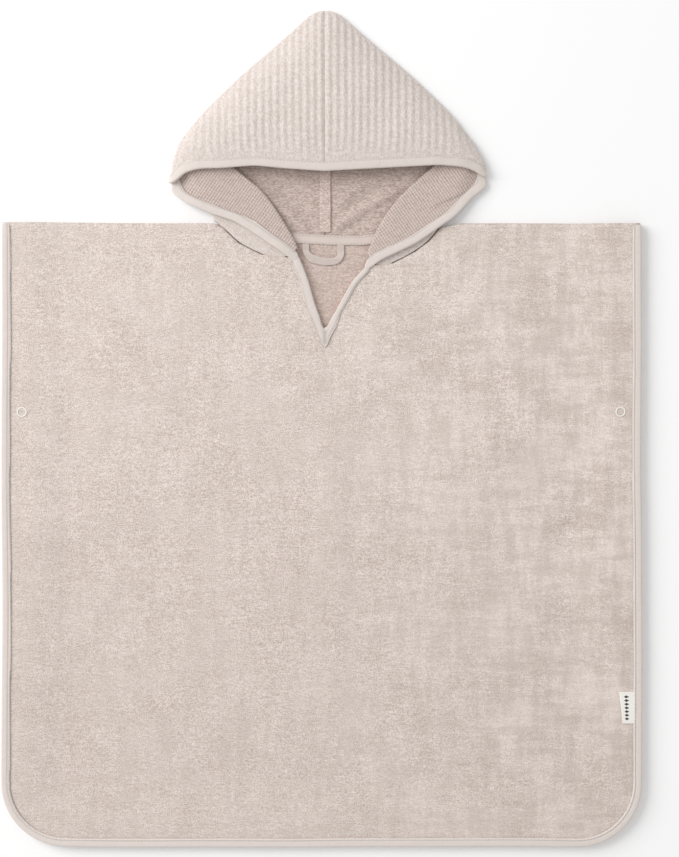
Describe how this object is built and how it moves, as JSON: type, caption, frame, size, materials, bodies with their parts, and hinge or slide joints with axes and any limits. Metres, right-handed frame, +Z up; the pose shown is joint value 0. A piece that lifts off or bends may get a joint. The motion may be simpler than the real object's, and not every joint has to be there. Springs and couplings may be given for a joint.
{
  "type": "hooded bath poncho",
  "caption": "Child's hooded bath poncho in terry cloth, laid flat on its back with the hood's mouth open and the bound edges turned out at the neck.",
  "frame": {"origin": "on the table, under the middle of the whole laid-out poncho's box", "axes": "+X across the poncho towards the wearer's left, +Y from the hem towards the tip of the hood, +Z up from the table"},
  "size_m": [0.5978, 0.7824, 0.0196],
  "materials": {
    "terry": "sheared cotton terry, soft nap, brushed in patches",
    "ribbed_terry": "cotton terry woven in lengthwise ribs, looped inside",
    "binding_tape": "smooth woven cotton tape, matt, topstitched",
    "label_cloth": "satin woven label, off-white, plain motif",
    "snap": "off-white open-ring snap, slight gloss"
  },
  "bodies": {
    "root": {"back_panel": "terry", "front_panel": "terry", "hood_left": "ribbed_terry", "hood_right": "ribbed_terry", "hood_binding": "binding_tape", "slit_binding": "binding_tape", "front_binding": "binding_tape", "back_binding": "binding_tape", "hood_seam_tape": "binding_tape", "neck_tape": "binding_tape", "hanger_loop": "binding_tape", "label": "label_cloth", "snap_left_front_ring": "snap", "snap_left_socket": "snap", "snap_left_stud": "snap", "snap_left_back_ring": "snap", "snap_right_front_ring": "snap", "snap_right_socket": "snap", "snap_right_stud": "snap", "snap_right_back_ring": "snap"}
  },
  "joints": []
}
